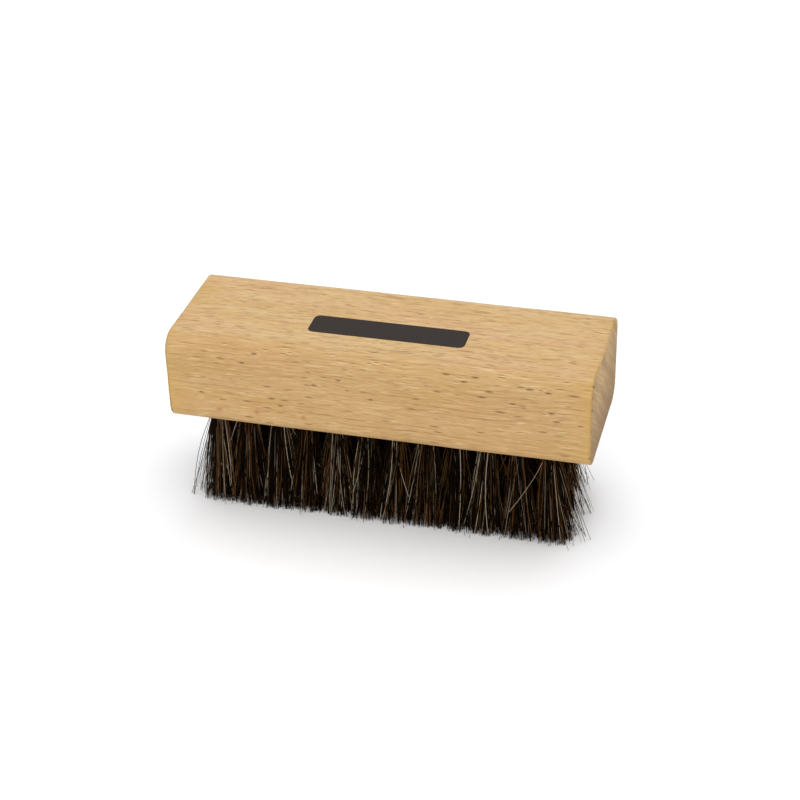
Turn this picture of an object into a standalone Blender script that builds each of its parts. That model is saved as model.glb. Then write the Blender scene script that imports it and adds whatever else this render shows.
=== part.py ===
"""Leather cleaning brush: a solid beech block, drilled from below and filled with tufts of horsehair.

Each tuft is a bundle of hair folded in half over a flat wire anchor. The anchor is driven to the
bottom of a drilled hole, and its two ends bite into the wood on either side of the hole.

Metres, +Z up. X runs along the block and -Y is the front. The trimmed tips stand on the plane Z = 0,
with the origin under the middle of the block.
"""

import math
import random

import bmesh
import bpy
import numpy as np
from mathutils import Matrix, Vector

# Block
BLOCK_LENGTH = 0.120
BLOCK_WIDTH = 0.042
BLOCK_HEIGHT = 0.027
EDGE_RADIUS = 0.0052  # round-over on the four long edges
EDGE_SEGMENTS = 7
END_EASE = 0.0004  # sanded arris where the saw cut the block to length
SQUARE_EDGE = math.radians(60)  # an edge that turns by more than this is still square

# Tuft field: a square grid between its margins, which is what the filling machine is set to
TUFTS_IN_ROW = 12
ROW_COUNT = 3
END_MARGIN = 0.0119  # from the block's end to the middle of the last tuft
SIDE_MARGIN = 0.0120
FIELD_SHIFT = -0.0012  # the field was drilled a little to the left of the block's middle

# Drilled holes
HOLE_RADIUS = 0.0025
HOLE_DEPTH = 0.0115
DRILL_POINT = 0.0012  # cone that the drill leaves beyond the straight hole
HOLE_SIDES = 12
CUT_OVERRUN = 0.0020  # how far the drill starts outside the wood

# Knot: the folded root of a tuft, with its anchor
SEAT_GAP = 0.0003  # clearance of the knot and the anchor to the wood around them
KNOT_SIDES = 8
FOLD_HEIGHT = 0.0018  # from the anchor's band to the top of the fold
FOLD_SHARE = 0.62  # width of the fold's top as a share of the knot's
CORE_SHARE = 0.38  # width of the middle strand's root as a share of the knot's
ANCHOR_THICKNESS = 0.0005
ANCHOR_HEIGHT = 0.0016
ANCHOR_BITE = 0.0009  # how far each end stands past the hole's wall

# Strands
TRIM_LENGTH = 0.0280  # from the block to the trimmed tips
NECK_DROP = 0.0050  # where the strands have parted from each other
NECK_RADIUS = 0.00034
TIP_RADIUS = 0.00032
NECK_SPREAD_SHARE = 1.32  # distance from the tuft's middle at the neck, as a share of that in the knot
FAN_ALONG_SHARE = 0.02  # how far a tuft's tips lean out along X, as a share of its place in the field
FAN_ACROSS_SHARE = 0.33
TIP_GAP = 0.0006  # left between the tips of neighbouring tufts
STRAND_WANDER = 0.0002  # random offset of a tip
WANDER_SEED = 12

HOLE_APOTHEM = HOLE_RADIUS * math.cos(math.pi / HOLE_SIDES)
KNOT_RADIUS = HOLE_APOTHEM - SEAT_GAP
KNOT_APOTHEM = KNOT_RADIUS * math.cos(math.pi / KNOT_SIDES)
KNOT_FACET = 2 * KNOT_RADIUS * math.sin(math.pi / KNOT_SIDES)
ANCHOR_INSET = (KNOT_FACET - ANCHOR_THICKNESS) / 2
ANCHOR_HALF_SPAN = HOLE_APOTHEM + ANCHOR_BITE
FOLD_TOP = HOLE_DEPTH - SEAT_GAP
BAND_TOP = FOLD_TOP - FOLD_HEIGHT
BAND_BOTTOM = BAND_TOP - ANCHOR_HEIGHT - 2 * ANCHOR_INSET
ANCHOR_MIDDLE = (BAND_TOP + BAND_BOTTOM) / 2


def clear_scene():
    for obj in list(bpy.data.objects):
        bpy.data.objects.remove(obj, do_unlink=True)


def new_collection(name):
    collection = bpy.data.collections.new(name)
    bpy.context.scene.collection.children.link(collection)
    return collection


def new_material(name, colour, roughness, metallic=0.0):
    material = bpy.data.materials.new(name)
    material.use_nodes = True
    shader = material.node_tree.nodes["Principled BSDF"]
    shader.inputs["Base Color"].default_value = (*colour, 1.0)
    shader.inputs["Roughness"].default_value = roughness
    shader.inputs["Metallic"].default_value = metallic
    return material


def add_object(name, mesh, collection, location=(0, 0, 0), parent=None):
    obj = bpy.data.objects.new(name, mesh)
    obj.location = location
    obj.parent = parent
    collection.objects.link(obj)
    return obj


def mesh_from(bm, name):
    """A smooth-shaded mesh, on which only square edges are sharp."""
    bmesh.ops.recalc_face_normals(bm, faces=bm.faces)
    mesh = bpy.data.meshes.new(name)
    bm.to_mesh(mesh)
    bm.free()
    mesh.shade_smooth()
    mesh.set_sharp_from_angle(angle=SQUARE_EDGE)
    return mesh


def spread_over(span, count):
    """Evenly spaced places along a span about zero, both ends included."""
    return [span * (k / (count - 1) - 0.5) for k in range(count)]


COLUMNS = spread_over(BLOCK_LENGTH - 2 * END_MARGIN, TUFTS_IN_ROW)
ROWS = spread_over(BLOCK_WIDTH - 2 * SIDE_MARGIN, ROW_COUNT)


def tuft_places():
    """The name of each tuft and its place in the field, row by row from the front."""
    for row, y in enumerate(ROWS, start=1):
        for column, x in enumerate(COLUMNS, start=1):
            yield f"tuft_row{row}_{column:02d}", Vector((x, y))


def box_mesh(name, size):
    bm = bmesh.new()
    bmesh.ops.create_cube(bm, size=1.0)
    bmesh.ops.scale(bm, vec=size, verts=bm.verts)
    return mesh_from(bm, name)


def drill_mesh():
    """The drilled hole as a solid, from below the block's face up to the drill's cone."""
    bm = bmesh.new()
    length = HOLE_DEPTH + CUT_OVERRUN
    bmesh.ops.create_cone(
        bm, cap_ends=True, segments=HOLE_SIDES, radius1=HOLE_RADIUS, radius2=HOLE_RADIUS, depth=length
    )
    # Half a step of turn brings a flat of the hole square to Y, where the anchor enters the wood.
    bmesh.ops.rotate(bm, verts=bm.verts, matrix=Matrix.Rotation(math.pi / HOLE_SIDES, 3, "Z"))
    bmesh.ops.translate(bm, verts=bm.verts, vec=(0, 0, length / 2 - CUT_OVERRUN))
    end = max(bm.faces, key=lambda face: face.calc_center_median().z)
    point = bmesh.ops.poke(bm, faces=[end])["verts"]
    bmesh.ops.translate(bm, verts=point, vec=(0, 0, DRILL_POINT))
    return mesh_from(bm, "drill")


def cutters_at_tufts(name, mesh, height):
    """A collection with one cutter at the middle of every tuft."""
    cutters = new_collection(name)
    for tuft, place in tuft_places():
        cutter = add_object(f"{name}_{tuft}", mesh, cutters, (place.x + FIELD_SHIFT, place.y, height))
        cutter.hide_render = True
        cutter.display_type = "WIRE"
    return cutters


def make_block(collection, parent, material):
    """The beech block: rounded along its length, sawn to length, drilled from below."""
    mesh = box_mesh("block", (BLOCK_LENGTH, BLOCK_WIDTH, BLOCK_HEIGHT))
    along = mesh.attributes.new("bevel_weight_edge", "FLOAT", "EDGE")
    for edge in mesh.edges:
        start, end = (mesh.vertices[index].co for index in edge.vertices)
        along.data[edge.index].value = 1.0 if start.x * end.x < 0 else 0.0
    mesh.edges.foreach_set("use_edge_sharp", [False] * len(mesh.edges))
    mesh.materials.append(material)
    block = add_object("block", mesh, collection, (0, 0, TRIM_LENGTH + BLOCK_HEIGHT / 2), parent)

    rounding = block.modifiers.new("long edges", "BEVEL")
    rounding.limit_method = "WEIGHT"
    rounding.width = EDGE_RADIUS
    rounding.segments = EDGE_SEGMENTS
    easing = block.modifiers.new("sawn ends", "BEVEL")
    easing.limit_method = "ANGLE"
    easing.angle_limit = SQUARE_EDGE
    easing.width = END_EASE
    easing.segments = 1

    # Each anchor's ends lie in kerfs, with the seat's clearance all round.
    kerf_size = (
        ANCHOR_THICKNESS + 2 * SEAT_GAP,
        2 * (ANCHOR_HALF_SPAN + SEAT_GAP),
        ANCHOR_HEIGHT + 2 * SEAT_GAP,
    )
    for cutters in (
        cutters_at_tufts("hole", drill_mesh(), TRIM_LENGTH),
        cutters_at_tufts("kerf", box_mesh("kerf", kerf_size), TRIM_LENGTH + ANCHOR_MIDDLE),
    ):
        cut = block.modifiers.new(cutters.name, "BOOLEAN")
        cut.operation = "DIFFERENCE"
        cut.solver = "EXACT"
        cut.operand_type = "COLLECTION"
        cut.collection = cutters
    block.modifiers.new("flats stay flat", "WEIGHTED_NORMAL")
    return block


def ring(bm, sides, radius, turn=0.0):
    angles = (2 * math.pi * (k + turn) / sides for k in range(sides))
    return [bm.verts.new((radius * math.cos(a), radius * math.sin(a), 0)) for a in angles]


def knot_cells(bm):
    """Divides the knot's lower face into strand roots: one in the middle, three for each of its corners."""
    rim = ring(bm, KNOT_SIDES, KNOT_RADIUS, turn=0.5)
    core = ring(bm, KNOT_SIDES // 2, CORE_SHARE * KNOT_RADIUS)
    cells = [bm.faces.new(core)]
    for k, corner in enumerate(core):
        following = core[(k + 1) % len(core)]
        before, after, beyond = (rim[(2 * k + step) % KNOT_SIDES] for step in (-1, 0, 1))
        cells.append(bm.faces.new((corner, before, after)))
        cells.append(bm.faces.new((corner, after, beyond)))
        cells.append(bm.faces.new((corner, beyond, following)))
    return rim, cells


def raise_wall(bm, edges, rise, share=1.0):
    """Draws the knot's open upper edge up by a rise and in to a share of its width."""
    made = bmesh.ops.extrude_edge_only(bm, edges=edges)["geom"]
    verts = [item for item in made if isinstance(item, bmesh.types.BMVert)]
    walls = [item for item in made if isinstance(item, bmesh.types.BMFace)]
    bmesh.ops.translate(bm, verts=verts, vec=(0, 0, rise))
    bmesh.ops.scale(bm, verts=verts, vec=(share, share, 1.0))
    raised = set(verts)
    upper = [item for item in made if isinstance(item, bmesh.types.BMEdge) and raised.issuperset(item.verts)]
    return upper, walls


def add_anchor_ends(bm, band):
    """The anchor crosses the fold along Y, and each end leaves the knot through the band's flat there."""
    flats = [min(band, key=lambda face: face.calc_center_median().y)]
    flats.append(max(band, key=lambda face: face.calc_center_median().y))
    for side, flat in zip((-1, 1), flats):
        bmesh.ops.inset_individual(bm, faces=[flat], thickness=ANCHOR_INSET, use_even_offset=True)
        flat.material_index = 1
        end = bmesh.ops.extrude_discrete_faces(bm, faces=[flat])["faces"][0]
        reach = (0, side * (ANCHOR_HALF_SPAN - KNOT_APOTHEM), 0)
        bmesh.ops.translate(bm, verts=list(end.verts), vec=reach)


def place_section(section, centre, radius, height):
    """Makes a strand's end section regular, flat and level, about a centre, turned as its corners lie."""
    middle = section.calc_center_median().xy
    first = section.verts[0].co.xy - middle
    way = 1 if section.normal.z > 0 else -1
    for k, vert in enumerate(section.verts):
        angle = math.atan2(first.y, first.x) + way * 2 * math.pi * k / len(section.verts)
        vert.co = (centre.x + radius * math.cos(angle), centre.y + radius * math.sin(angle), height)


def tip_spread(roots):
    """How far the tips spread, as shares of their roots' distances, so that tufts meet but don't cross."""
    shares = []
    for places, fan, axis in ((COLUMNS, FAN_ALONG_SHARE, 0), (ROWS, FAN_ACROSS_SHARE, 1)):
        pitch_at_tips = (places[1] - places[0]) * (1 + fan)
        reach = (pitch_at_tips - TIP_GAP) / 2 - TIP_RADIUS - STRAND_WANDER
        shares.append(reach / max(abs(root[axis]) for root in roots))
    return shares


def grow_strands(bm, cells, place, wander):
    """Draws each cell out into a strand that parts from its neighbours and ends in a flat trimmed tip."""
    roots = [cell.calc_center_median().xy for cell in cells]
    along, across = tip_spread(roots)
    lean = Vector((FAN_ALONG_SHARE * place.x, FAN_ACROSS_SHARE * place.y))
    bm.normal_update()
    paths = []
    for cell, root in zip(cells, roots):
        neck_place = root * NECK_SPREAD_SHARE + lean * (NECK_DROP / TRIM_LENGTH)
        offset = Vector((wander.uniform(-1, 1), wander.uniform(-1, 1))) * STRAND_WANDER
        tip_place = Vector((root.x * along, root.y * across)) + lean + offset
        neck = bmesh.ops.extrude_discrete_faces(bm, faces=[cell])["faces"][0]
        place_section(neck, neck_place, NECK_RADIUS, -NECK_DROP)
        tip = bmesh.ops.extrude_discrete_faces(bm, faces=[neck])["faces"][0]
        place_section(tip, tip_place, TIP_RADIUS, -TRIM_LENGTH)
        paths.append((place + neck_place, place + tip_place))
    return paths


def make_tuft(name, place, wander, collection, parent, materials):
    """One tuft: the folded knot with its anchor, up in the hole, and the strands below the block."""
    bm = bmesh.new()
    rim, cells = knot_cells(bm)
    edge = [bm.edges.get((rim[k - 1], rim[k])) for k in range(KNOT_SIDES)]
    edge, _ = raise_wall(bm, edge, BAND_BOTTOM)
    edge, band = raise_wall(bm, edge, BAND_TOP - BAND_BOTTOM)
    edge, _ = raise_wall(bm, edge, FOLD_HEIGHT, FOLD_SHARE)
    bmesh.ops.contextual_create(bm, geom=edge)
    add_anchor_ends(bm, band)
    paths = grow_strands(bm, cells, place, wander)
    mesh = mesh_from(bm, name)
    for material in materials:
        mesh.materials.append(material)
    add_object(name, mesh, collection, (place.x + FIELD_SHIFT, place.y, TRIM_LENGTH), parent)
    return paths


def least_gap(paths, levels=9):
    """The least gap between any two strands, measured level by level from their necks to their tips."""
    necks, tips = np.array(paths).transpose(1, 0, 2)
    gaps = []
    for share in np.linspace(0.0, 1.0, levels):
        centres = necks + (tips - necks) * share
        apart = np.linalg.norm(centres[:, None] - centres[None, :], axis=2)
        np.fill_diagonal(apart, np.inf)
        gaps.append(apart.min() - 2 * (NECK_RADIUS + (TIP_RADIUS - NECK_RADIUS) * share))
    return min(gaps)


def main():
    clear_scene()
    brush = new_collection("leather_brush")
    frame = add_object("brush_frame", None, brush)
    beech = new_material("beech", (0.72, 0.47, 0.24), 0.48)
    horsehair = new_material("horsehair", (0.022, 0.014, 0.009), 0.42)
    steel = new_material("anchor_steel", (0.55, 0.55, 0.53), 0.35, metallic=1.0)
    make_block(brush, frame, beech)
    wander = random.Random(WANDER_SEED)
    paths = []
    for name, place in tuft_places():
        paths += make_tuft(name, place, wander, brush, frame, (horsehair, steel))
    print(f"{len(paths)} strands, least gap {least_gap(paths) * 1000:.2f} mm")


main()
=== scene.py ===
"""Looks of the leather cleaning brush: oiled beech, natural horsehair, a printed bar and a studio stage.

Laid out as an add-on and run as a script. Lengths are metres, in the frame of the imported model:
X runs along the block, -Y is the front, and the trimmed tips of the hair stand on Z = 0.
"""

import math
from typing import NamedTuple

import bpy
import numpy as np
from bpy.props import FloatProperty, FloatVectorProperty, IntProperty, PointerProperty
from mathutils import Matrix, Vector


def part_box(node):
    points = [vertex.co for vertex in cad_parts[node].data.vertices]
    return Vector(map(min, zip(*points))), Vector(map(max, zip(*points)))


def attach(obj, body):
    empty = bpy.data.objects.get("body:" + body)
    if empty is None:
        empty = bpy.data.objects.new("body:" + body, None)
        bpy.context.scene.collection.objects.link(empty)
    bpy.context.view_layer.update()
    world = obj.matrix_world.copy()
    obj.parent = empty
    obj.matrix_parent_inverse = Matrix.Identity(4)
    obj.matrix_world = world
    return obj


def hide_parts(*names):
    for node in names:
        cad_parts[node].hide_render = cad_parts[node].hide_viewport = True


bl_info = {
    "name": "Leather cleaning brush",
    "version": (1, 0, 0),
    "blender": (4, 5, 0),
    "location": "View3D > Sidebar > Brush",
    "description": "Builds the looks of a beech and horsehair brush around its packed model",
    "category": "Add Mesh",
}

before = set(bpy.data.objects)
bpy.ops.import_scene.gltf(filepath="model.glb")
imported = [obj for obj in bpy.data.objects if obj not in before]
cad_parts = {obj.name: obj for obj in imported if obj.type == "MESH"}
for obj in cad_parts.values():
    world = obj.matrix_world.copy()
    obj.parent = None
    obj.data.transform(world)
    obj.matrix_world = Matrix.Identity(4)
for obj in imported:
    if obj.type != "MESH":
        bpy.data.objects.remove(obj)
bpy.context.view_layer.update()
BLOCK_LOW, BLOCK_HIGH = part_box("block")
TUFTS = sorted(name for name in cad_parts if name.startswith("tuft_"))
MM = 0.001

# How finely the shapes are divided
ARC_STEPS = 16  # round each long edge of the block
ARRIS_STEPS = 5  # across the arris, the eased edge at each sawn end
FLAT_STEP = 1.5 * MM  # along the block and across its flats
DRILL_SIDES = 32
LEG_RINGS = 8  # of one hair, from the hole's mouth to its tip
FOLD_ANGLES = np.radians([25, 90, 155])  # where a folded hair has rings on its bend
HAIR_SIDES = 3
WIRE_ARC_STEPS = 3  # round each corner of the flat wire
BAR_ARC_STEPS = 10  # round each corner of the printed bar
BAR_STEP = 0.25 * MM  # along the bar's sides
SHARP_ANGLE = math.radians(40)  # a sharper bend than this is shaded as an edge

# How the shapes stray from true
NOISE_WAVES = 6  # that a gentle noise adds up
NOISE_PACES = (0.6, 1.8)  # of the slowest and the fastest of them
ARRIS_WAVE = MM / 3  # along an arris
ARRIS_STRAY_SHARE = 0.5
ARRIS_SEEDS = (2, 3)  # left and right
SANDING_WAVE = 9 * MM  # along a rounded edge
SANDING_TURNS = 2  # steps of the noise to a radian round it
SANDING_SEED = 5
DRILL_TIP_SHARE = 1 / 32  # of the hole's radius, at the blunt end of the drill's cone
WIRE_ROUND_SHARE = 0.9  # of half the wire's thickness
INK_WAVE = 0.25 * MM  # along the bar's edge
INK_STRAY = 0.035 * MM
INK_SEED = 9

# How the hairs differ
MOUTH_DEPTH = 1 * MM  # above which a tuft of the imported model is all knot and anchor
HAIR_TONES = (  # where each colour is full, from the darkest hair to the palest
    (0.0, "black"), (0.46, "black"), (0.68, "brown"), (0.80, "auburn"), (0.87, "chestnut"), (0.92, "grey"),
    (0.985, "white"),
)
TONE_POWERS = (1.05, 1.6)  # the higher a tuft's, the darker it is
STRAY_TONES = (0.2, 1.0)
PALE_POWER = 4  # of the tone, by which pale hairs are thinner
TAPER_SHARE = 0.2  # by which a hair is thinner at its tip
LAST_TUFT_SHARE = 0.95  # of the way from the middle to the last tuft, past which a tuft is an end one
END_LEAN_POWER = 4  # so that the last tufts of a row lean and the others hardly do
WAYWARD_TIMES = (4.0, 2.5)  # as far off as other tips, along X and Y
WAYWARD_BOW_TIMES = 2.5
LEAST_REACH_SHARE = 0.3  # of the furthest that a loose hair runs or a broken one lacks
LOOSE_OUT_SHARE = 0.35  # of a loose hair's way to the side that it also runs outwards
LOOSE_LIFT_TIMES = 2  # as high off the trimmed plane as a broken tip
FALL_POWER = 1.15  # a hair sets out straight down and leans more towards its tip
LOOSE_FALL_POWER = 1.7

# The map for the bake, which has a square cell for each hair
BAKE_MAP = "OFBake"  # the name of the UV map made here
CELL_FILL_SHARE = 0.86  # of its cell that a hair fills
CAP_SHARES = ((0.05, 0.1), (0.35, 0.1), (0.2, 0.9))  # corners of one cap, in the strip above the walls
CAP_STEP_SHARES = (0.5, 0.0)  # from there to the other cap


class Spots(NamedTuple):
    """Soft-edged spots of noise, one to a cell or so."""

    cell: tuple  # its sides in millimetres
    none: float  # the noise up to which nothing shows
    full: float  # the noise from which on a spot is full
    seed: int
    detail: float = 1.0


class Zone(NamedTuple):
    """A value that changes evenly with the distance, in millimetres, from some side of the block."""

    way: str  # back from the front, up from the underside, in from the sawn ends, or right from the middle
    start: float
    stop: float
    first: float = 0.0
    last: float = 1.0


# The figure in the wood, in cells that run up the trunk, outwards from the pith, and round it. Real pores
# are under 0.1 mm wide, so they are drawn as coarse as they need to show, and so are the wires' lines.
FIGURE = {
    "gold_patch": Spots((34, 5, 9), 0.38, 0.68, 13),
    "crept_patch": Spots((34, 5, 9), 0.30, 0.60, 53),
    "blush_patch": Spots((48, 8, 12), 0.42, 0.72, 11),
    "ring_fade": Spots((26, 3, 8), 0.36, 0.68, 3),
    "fibre": Spots((11, 0.38, 0.38), 0.25, 0.75, 17, 2.0),
    # painted sheen: pale streaks along the fibres, standing in for light caught by the raised grain
    "fibre_painted_sheen": Spots((7, 0.5, 0.5), 0.50, 0.75, 37),
    "pore": Spots((5.5, 0.36, 0.36), 0.58, 0.70, 23, 1.5),
    "fine_pore": Spots((3.2, 0.24, 0.24), 0.56, 0.72, 29),
    "ray_crowd": Spots((22, 5, 7), 0.34, 0.54, 41),
    "end_patch": Spots((60, 2.6, 26), 0.35, 0.65, 61, 2.0),
    "end_ray": Spots((60, 4.5, 0.32), 0.50, 0.70, 71),
    "end_pore": Spots((60, 0.3, 0.3), 0.55, 0.70, 73),
}
RING_DARKNESS = ((0.0, 0.3), (0.12, 0.0), (0.66, 0.12), (0.90, 1.0), (1.0, 0.3))  # outwards across a ring
RING_SWAY = (0, 2.6 * MM, 2.6 * MM)  # the full width of the noise that bends the rings
RING_SWAY_CELL = (24, 22, 22)
RAY_CELL = (6.0, 1.25, 1.25)
RAY_LENS = (0.30, 0.08)  # how far from a cell's middle a ray starts and is full, in cells
RAY_LUCK = (0.15, 0.75)  # the random numbers at which a cell has no ray and a full one
HIGHLIGHT_SHIFT = (0.15 * MM, -0.33 * MM, 0.05 * MM)  # from a cut ray or pore to the painted highlight on the lip in front of it

# The same along the axes of the block, and of the wires, which were drawn along Y
EDGE_CHIPS = {
    "chip": Spots((0.5, 0.7, 1.1), 0.47, 0.56, 59),
    "chip_crowd": Spots((40, 9, 7), 0.48, 0.62, 67),
}
DRAWN_LINE = Spots((0.08, 3, 0.08), 0.3, 0.7, 5)

# Single marks, in millimetres: where along X, how far round the front from the top's middle,
# and how long
MARKS = {
    "deep_ray": (
        (55, 22.5, 5.0), (43, 22, 3.2), (35, 30, 4.2), (48, 22.5, 2.6), (20, 20.5, 3.2), (28, 20.5, 3.2),
        (25, 22, 3.0), (32, 24, 3.0), (30, 26, 3.6), (38.5, 27, 3.0), (49, 28.5, 2.4), (50.5, 31, 3.0),
        (57, 31.5, 2.4), (-1, 31, 2.2), (-10, 26, 2.4), (-17, 28.5, 2.4), (-27, 36.5, 2.2),
        (-29.5, 34.5, 2.8), (-34, 21, 2.4), (-37.5, 24, 2.4), (-50, 35, 2.4),
    ),
    "fine_ray": (
        (-43, 19, 2.2), (-31, 19.5, 2.2), (-26, 20, 2.4), (-24, 19.5, 2.0), (-22, 22, 2.4),
        (-18.5, 24.5, 2.0), (-12, 18.5, 2.6), (-14, 25.5, 2.4), (-8, 22.5, 2.0), (-6, 20.5, 2.0),
        (-3, 22, 2.4), (-1.5, 20, 1.8), (0.5, 19.5, 2.2), (3, 20, 1.8), (-7.5, 29, 2.2), (35, 19, 2.6),
        (41.5, 28, 2.2), (50, 17.5, 2.4), (52.5, 19, 2.4), (46, 22, 2.0),
    ),
    "knot": ((-45, 40, 2.4), (-34, 39.5, 2.0), (-20.5, 39.5, 2.2)),
    "nick": ((60, 19.3, 1.1), (60, 22.5, 0.7), (60, 26.3, 0.8), (60, 33, 0.7), (60, 41.5, 1.5)),
}
MARK_HIGHLIGHT_SHIFT = (0.1 * MM, -0.26 * MM, -0.22 * MM)  # from a single mark to the painted highlight on its lip
MARK_FADE = (1.0, 0.15)  # from a mark's skin to where it is full, in its half lengths

# Rays meet the front nearly flat, so they show most there and on its round, and the pores show least.
# The sawn ends drink oil, which creeps inwards and gathers at their edges, most of all at the right end.
ZONES = {
    "front": Zone("back", 1.5, 7, 1.0, 0.0),
    "ring_strength": Zone("back", 1.5, 7, 0.60, 0.55),
    "pore_strength": Zone("back", 1.5, 7, 0.55, 1.0),
    "ray_strength": Zone("back", 5, 13, 1.0, 0.42),
    "round": Zone("back", 5, 9, 1.0, 0.35),
    "end": Zone("in", 0.12, 0.02),
    "side": Zone("in", 0.12, 0.02, 1.0, 0.12),
    "end_roughness": Zone("in", 0.12, 0.02, 0.0, 0.35),
    "edge": Zone("in", 0.8, 0.5),
    "oiled_edge": Zone("in", 2.6, 0.6),
    "crept_oil": Zone("in", 8, 1.5),
    "right": Zone("right", 0, BLOCK_HIGH.x / MM, 0.4),
    # painted shade: the sawn ends darker towards their foot
    "foot": Zone("up", 3, 19, 1.0, 0.0),
    "low_down": Zone("up", 3, 12, 1.0, 0.3),
}

# The sockets of a Mix node that is set to colours
MIX_FACTOR, MIX_UNDER, MIX_OVER, MIX_RESULT = 0, 6, 7, 2

# Layers of colour, each laid over the last: strength, colour, and the masks that it shows in
WOOD_LAYERS = (
    (0.35, "gold", "gold_patch"),
    (0.40, "blush", "blush_patch"),
    (0.33, "late_wood", "front"),
    (0.12, "gold", "front"),
    # painted sheen along the fibres
    (0.48, "painted_highlight", "fibre_painted_sheen"),
    (1.00, "late_wood", "ring", "ring_fade", "ring_strength"),
    (0.14, "late_wood", "fibre", "side"),
    (0.42, "pore", "fine_pore", "pore_strength", "side"),
    # painted highlight on the lip beside each pore
    (0.50, "painted_highlight", "pore_painted_highlight", "pore_strength", "side"),
    (0.74, "pore", "pore", "pore_strength", "side"),
    # painted highlight on the lip beside each ray
    (0.65, "painted_highlight", "ray_painted_highlight", "ray_crowd", "ray_strength", "side"),
    (0.80, "ray", "ray", "ray_crowd", "ray_strength", "side"),
    # painted highlight on the lip beside each fine ray
    (0.80, "painted_highlight", "fine_ray_painted_highlight"),
    (0.85, "ray", "fine_ray"),
    (0.95, "deep_ray", "deep_ray"),
    (0.62, "knot", "knot"),
    (0.40, "gold", "crept_patch", "crept_oil"),
    (0.34, "arris_oil", "oiled_edge", "side", "round", "right"),
    (0.24, "end_dark_and_painted_shade", "edge", "side", "round"),
    (0.94, "end_grain", "end"),
    (0.60, "end_band", "end_patch", "end"),
    (0.40, "end_band", "ring", "end"),
    (0.22, "wood", "end_ray", "end"),
    (0.30, "end_dark_and_painted_shade", "end_pore", "end"),
    # painted shade: the sawn ends darker towards their foot
    (0.66, "end_dark_and_painted_shade", "foot", "end"),
    (0.90, "chip", "chip", "chip_crowd", "edge", "side", "low_down"),
    (0.85, "chip", "nick"),
)
INK_LAYERS = ((0.05, "pore", "pore"),)

# What is hollow: its share of the full depth, and the masks that it shows in
HOLLOWS = (
    (0.35, "fibre", "side"),
    (1.0, "pore", "pore_strength", "side"),
    (1.0, "ray", "ray_crowd", "ray_strength", "side"),
    (1.0, "deep_ray"),
)
PORE_DEPTH = 0.08 * MM

# Softboxes: name, the setting that holds the power, side, and place
SOFTBOXES = (
    ("softbox_above", "top_light", 0.9, (0.05, 0.2, 1.1)),
    ("softbox_in_front", "front_light", 0.8, (-0.3, -1.1, 0.6)),
)
CLIP_START = 0.01


def linear(hex_colour):
    """An sRGB hex colour as linear red, green and blue."""
    levels = (int(hex_colour[k : k + 2], 16) / 255 for k in (1, 3, 5))
    return tuple(c / 12.92 if c <= 0.04045 else ((c + 0.055) / 1.055) ** 2.4 for c in levels)


def opaque(rgb):
    """A colour with full opacity added."""
    return (*rgb, 1.0)


# Settings


def length(name, description, default):
    return FloatProperty(name=name, description=description, default=default, unit="LENGTH")


def share(name, description, default):
    return FloatProperty(name=name, description=description, default=default, subtype="FACTOR", min=0, max=1)


def ratio(name, description, default):
    return FloatProperty(name=name, description=description, default=default, min=0)


def angle(name, description, degrees):
    default = math.radians(degrees)
    return FloatProperty(name=name, description=description, default=default, subtype="ANGLE")


def colour(name, description, hex_colour):
    default = linear(hex_colour)
    return FloatVectorProperty(name=name, description=description, default=default, subtype="COLOR")


class BlockSettings(bpy.types.PropertyGroup):
    """Sizes and colours of the beech block."""

    edge_radius: length("Edge radius", "Round-over on the four long edges", 5.2 * MM)
    arris: length("Arris", "Easing of the sawn edges", 0.55 * MM)
    hand_sanding: length("Hand sanding", "How far the rounds stray from true", 0.07 * MM)
    hole_radius: length("Hole radius", "Radius of each drilled hole", 2.5 * MM)
    hole_clearance: length("Hole clearance", "From the fold of a tuft to the hole's end", 0.3 * MM)
    drill_point: length("Drill point", "Cone beyond the straight hole", 1.2 * MM)
    ring_angle: angle("Ring angle", "Turn of the growth rings about X", -49)
    ring_spacing: length("Ring spacing", "Width of one growth ring", 1.55 * MM)
    pith_distance: length("Pith distance", "From the block to the middle of the tree", 110 * MM)
    wood: colour("Wood", "Early wood, oiled", "#C8A673")
    # Painted highlight: the pale colour of the sheen along the fibres and of the lips beside pores and rays
    painted_highlight: colour("Light wood", "Bright threads between the pores", "#D8BB8A")
    late_wood: colour("Late wood", "Darker line at the end of a ring", "#A2773F")
    blush: colour("Blush", "Pinkish zones of steamed beech", "#CBA078")
    gold: colour("Gold", "Yellower zones, where more oil stayed", "#BE954E")
    pore: colour("Pores", "Fine dark lines of cut vessels", "#8C6335")
    ray: colour("Rays", "Short dark flecks of cut rays", "#7C5426")
    deep_ray: colour("Deep rays", "The darkest of those flecks", "#68451A")
    deep_ray_width: length("Deep ray width", "Across the darkest flecks", 0.8 * MM)
    fine_ray_width: length("Fine ray width", "Across the single finer flecks", 0.5 * MM)
    knot: colour("Pin knots", "Faint reddish dots", "#A2683F")
    knot_width: length("Pin knot width", "Across those dots", 2.2 * MM)
    nick_width: length("Nick width", "Along the edge of the sawn end", 1.5 * MM)
    end_grain: colour("End grain", "Sawn ends, duller than the sides", "#BB9B68")
    end_band: colour("End bands", "Bands of late wood on the sawn ends", "#8C6C48")
    # Painted shade at the foot of the sawn ends; the same colour also darkens their pores and the edges near
    # them
    end_dark_and_painted_shade: colour("Low end", "The foot of the sawn ends, which drank most oil", "#7E5C38")
    arris_oil: colour("Arris oil", "Yellow tint of oil at the sawn edges", "#B9983F")
    chip: colour("Chips", "Dark nicks along the sawn edges", "#40301A")


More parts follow.
